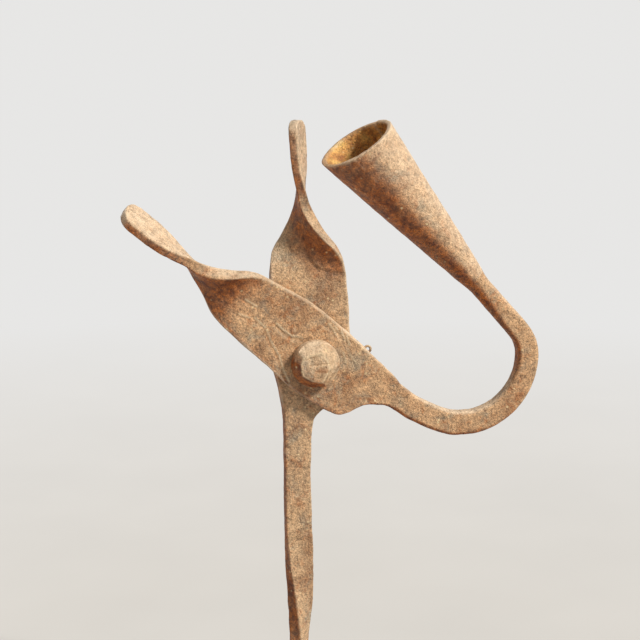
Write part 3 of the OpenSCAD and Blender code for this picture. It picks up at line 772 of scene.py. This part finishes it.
pin = fine_copy("hammered_pin", pin_mesh(), 0.2, 1)
q = pin.p - PIVOT
on_top = q[:, 1] < HEAD_SEAT - 2
for path in ([(-2.6, 0.4), (3.6, 0.7)], [(-1.0, -1.6), (3.0, -1.9)], [(-4.0, 2.0), (-1.5, 3.0)], [(0.6,
        3.6), (2.4, 2.6)]):
    pin.p[:, 1] += on_top * groove(q, path, 0.24, 0.22)
before = pin.p.copy(), pin.normals()[:, 1]
forge(pin, 303, dents=0.03, wobble=0.04, pits=0.05, wear_and_highlight=0.08)
pin.store("mark", groove(q, FLAT + FLAT[:1], 0.26, 1.0) * (pin.p[:, 1] < HEAD_SEAT - 2))
seat(pin, before, 1, HEAD_SEAT, HEAD_SEAT - 0.02)
show("hammered_pin", pin, "stand", pin_iron, "pin_iron", "pivot_pin")

# ---------------------------------------------------------------- washer

washer = fine_copy("old_washer", "washer", 0.3, 5)
before = washer.p.copy(), washer.normals()[:, 1]
forge(washer, 404, dents=0.05, wobble=0.07, pits=0.08)
seat(washer, before, -1, WASHER_FRONT, WASHER_FRONT - 0.07)
show("old_washer", washer, "stand", pin_iron, "pin_iron", "washer")

# ---------------------------------------------------------------- split pin


def wire_path():
    """The folded wire, from one spread end round the eye to the other, as (x, z) from the pivot."""
    half, reach, radius, bend, run = 0.44, 19.4, 1.0, 4.3, 5.7
    leg = [(reach - radius - 1.4, half), (4.5, half), (0, half), (-bend, half)]
    for k in range(1, 9):
        a = math.radians(24 * k / 8)
        leg.append((-bend - run * k / 8 * math.cos(a / 2), half + run * k / 8 * math.sin(a / 2) * 1.4))
    eye = [(reach + radius * math.cos(math.radians(a)),
            radius * math.sin(math.radians(a))) for a in range(155, -156, -10)]
    return leg[::-1] + eye + [(x, -z) for x, z in leg]


def wire_mesh():
    path = [Vector(v) for v in wire_path()]
    turn = math.radians(3.5)
    plane = 1.75 + 0.2 + 1.6 + 0.95 + 0.2
    bm = bmesh.new()
    rings = []
    sides = 14
    for i, point in enumerate(path):
        way = (path[min(i + 1, len(path) - 1)] - path[max(i - 1, 0)]).normalized()
        ring_verts = []
        for k in range(sides):
            a = 2 * math.pi * k / sides
            x = point.x - 0.4 * math.cos(a) * way.y
            z = point.y + 0.4 * math.cos(a) * way.x
            x, z = x * math.cos(turn) - z * math.sin(turn), x * math.sin(turn) + z * math.cos(turn)
            ring_verts.append(bm.verts.new((PIVOT + (x, plane - 0.4 * math.sin(a), z)) * MM))
        rings.append(ring_verts)
    for a, b in zip(rings[:-1], rings[1:]):
        for k in range(sides):
            bm.faces.new((a[k], a[(k + 1) % sides], b[(k + 1) % sides], b[k]))
    bm.faces.new(rings[0])
    bm.faces.new(rings[-1][::-1])
    bmesh.ops.recalc_face_normals(bm, faces=bm.faces)
    bmesh.ops.subdivide_edges(bm, edges=bm.edges, cuts=1, use_grid_fill=True)
    mesh = bpy.data.meshes.new("split_wire")
    bm.to_mesh(mesh)
    bm.free()
    mesh.polygons.foreach_set("use_smooth", np.ones(len(mesh.polygons), dtype=bool))
    return mesh


wire = Shape(wire_mesh())
wire.p += wire.normals() * (0.03 * rough_noise(wire.p, 1.3, 2, 505))[:, None]
wire.store("edge", ramp(smooth_noise(wire.p, 2, 506), 0.3, 0.9))
wire.store("pit", ramp(smooth_noise(wire.p, 0.8, 507), 0.2, 0.9))
wire.write()
show("split_wire", wire, "stand", pin_iron, "pin_iron", "split_pin")

# ---------------------------------------------------------------- wooden block

block = fine_copy("oak_block", "wooden_block", 0.8, 3)
p, n = block.p.copy(), block.normals()
low = p[:, 2] < 0.4
move = 0.35 * rough_noise(p, 30, 2, 606)
along_grain = p * (0.08, 1, 1)
move += 0.16 * rough_noise(along_grain, 2.4, 3, 607) * (np.abs(n[:, 0]) < 0.7)
spot, _, kind = nearest_seeds(p, 13, 608)
dent = (1 - ramp(spot, 0.3, 3.2)) * (kind > 0.55)
move -= 0.55 * dent
# drying checks: thin cracks that follow the grain and open on the ends
crack = np.zeros(len(p))
for y0, z0, reach, lean in ((-13, 30, 30, 0.10), (17, 22, 24, -0.12), (5, 41, 18, 0.3), (-28, 12, 16, 0.2)):
    for end in (-1, 1):
        if (y0 * end) % 2 > 1 and end > 0:
            continue
        from_end = 44 - end * p[:, 0]
        drift = y0 + 1.6 * smooth_noise(p * (1, 0, 0.5), 9, 609) + lean * (p[:, 2] - z0)
        width = 0.42 * np.clip(1 - from_end / reach, 0, 1)
        crack = np.maximum(crack, np.where(width > 0.03, np.exp(-((p[:, 1] - drift) / np.maximum(width,
                0.05)) ** 2) * (width > 0.03), 0)
                           * (np.abs(p[:, 2] - z0) < 16))
move -= 0.9 * crack
move[low] = np.minimum(move[low], 0)
block.p = p + n * move[:, None]
block.p[:, 2] = np.maximum(block.p[:, 2], 0)
block.write()
edge = sharpness(block, 10)
block.store("edge", ramp(edge, 0.05, 0.5) * (0.6 + 0.4 * smooth_noise(p, 9, 610)))
block.store("pit", np.maximum(crack, 0.5 * dent))
show("oak_block", block, "stand", oak, "oak", "wooden_block")

# ---------------------------------------------------------------- stage, light and camera

floor_mesh = bpy.data.meshes.new("floor")
side = 30
floor_mesh.from_pydata([(-side, -side, 0), (side, -side, 0), (side, side, 0), (-side, side, 0)], [], [(0,
        1, 2, 3)])
floor = new_object("floor", floor_mesh)
PALE = (0.80, 0.795, 0.785)
ground = Nodes("pale_floor")
ground.set(ground.shader.inputs["Base Color"], ground.ramp(ground.noise(90, 2), (0.3, (0.70, 0.695,
        0.68)), (0.7, (0.73, 0.725, 0.71))))
ground.shader.inputs["Roughness"].default_value = 0.9
ground.shader.inputs["Specular IOR Level"].default_value = 0.1


def seen_directly(m):
    """1 for the camera's rays and for what gloss and glass show, 0 for light on the object."""
    path = m.tree.nodes.new("ShaderNodeLightPath")
    some = m.math("MAXIMUM", path.outputs["Is Camera Ray"], path.outputs["Is Glossy Ray"])
    return m.math("MAXIMUM", some, path.outputs["Is Transmission Ray"])


# away from the object the floor runs out into the plain pale background
glow = ground.add("ShaderNodeEmission", Color=(*PALE, 1), Strength=1.0)
far = ground.add("ShaderNodeVectorMath")
far.operation = "LENGTH"
ground.set(far.inputs[0], ground.place)
fade = ground.ramp(far.outputs["Value"], (0.22, 0.0), (0.85, 1.0))
blend = ground.tree.nodes.new("ShaderNodeMixShader")
ground.set(blend.inputs[0], ground.math("MULTIPLY", fade, seen_directly(ground)))
ground.set(blend.inputs[1], ground.shader.outputs[0])
ground.set(blend.inputs[2], glow.outputs[0])
ground.set(ground.tree.nodes["Material Output"].inputs["Surface"], blend.outputs[0])
floor.data.materials.append(ground.material)

world = bpy.data.worlds.new("studio")
bpy.context.scene.world = world
world.use_nodes = True
sky = world.node_tree
path = sky.nodes.new("ShaderNodeLightPath")
shown = None
for ray in ("Is Camera Ray", "Is Glossy Ray", "Is Transmission Ray"):
    if shown is None:
        shown = path.outputs[ray]
        continue
    most = sky.nodes.new("ShaderNodeMath")
    most.operation = "MAXIMUM"
    sky.links.new(shown, most.inputs[0])
    sky.links.new(path.outputs[ray], most.inputs[1])
    shown = most.outputs[0]
fill = sky.nodes["Background"]
fill.inputs[0].default_value = (1.0, 0.95, 0.9, 1)
fill.inputs[1].default_value = 0.24
backdrop = sky.nodes.new("ShaderNodeBackground")
backdrop.inputs[0].default_value = (*PALE, 1)
choose = sky.nodes.new("ShaderNodeMixShader")
sky.links.new(shown, choose.inputs[0])
sky.links.new(fill.outputs[0], choose.inputs[1])
sky.links.new(backdrop.outputs[0], choose.inputs[2])
sky.links.new(choose.outputs[0], sky.nodes["World Output"].inputs["Surface"])

sun = bpy.data.lights.new("key", "SUN")
sun.energy = 3.8
sun.angle = math.radians(11)
sun.color = (1.0, 0.96, 0.9)
key = bpy.data.objects.new("key", sun)
key.rotation_euler = Vector((-0.6, 0.55, -0.66)).to_track_quat("-Z", "Y").to_euler()
bpy.context.scene.collection.objects.link(key)

# the photograph: 12 degrees left of square, 13.5 above, 433 mm from the pivot
azimuth, elevation, distance = math.radians(12), math.radians(13.5), 433
towards = np.array((-math.sin(azimuth) * math.cos(elevation), -math.cos(azimuth) * math.cos(elevation),
        math.sin(elevation)))
camera_data = bpy.data.cameras.new("camera")
camera_data.sensor_width = 36
camera_data.lens = 78
camera_data.shift_x = 9 / 640
camera_data.shift_y = 39 / 640
camera = bpy.data.objects.new("camera", camera_data)
camera.location = (PIVOT + towards * distance) * MM
camera.rotation_euler = Vector(-towards).to_track_quat("-Z", "Y").to_euler()
bpy.context.scene.collection.objects.link(camera)
bpy.context.scene.camera = camera
bpy.context.scene.view_settings.view_transform = "Standard"
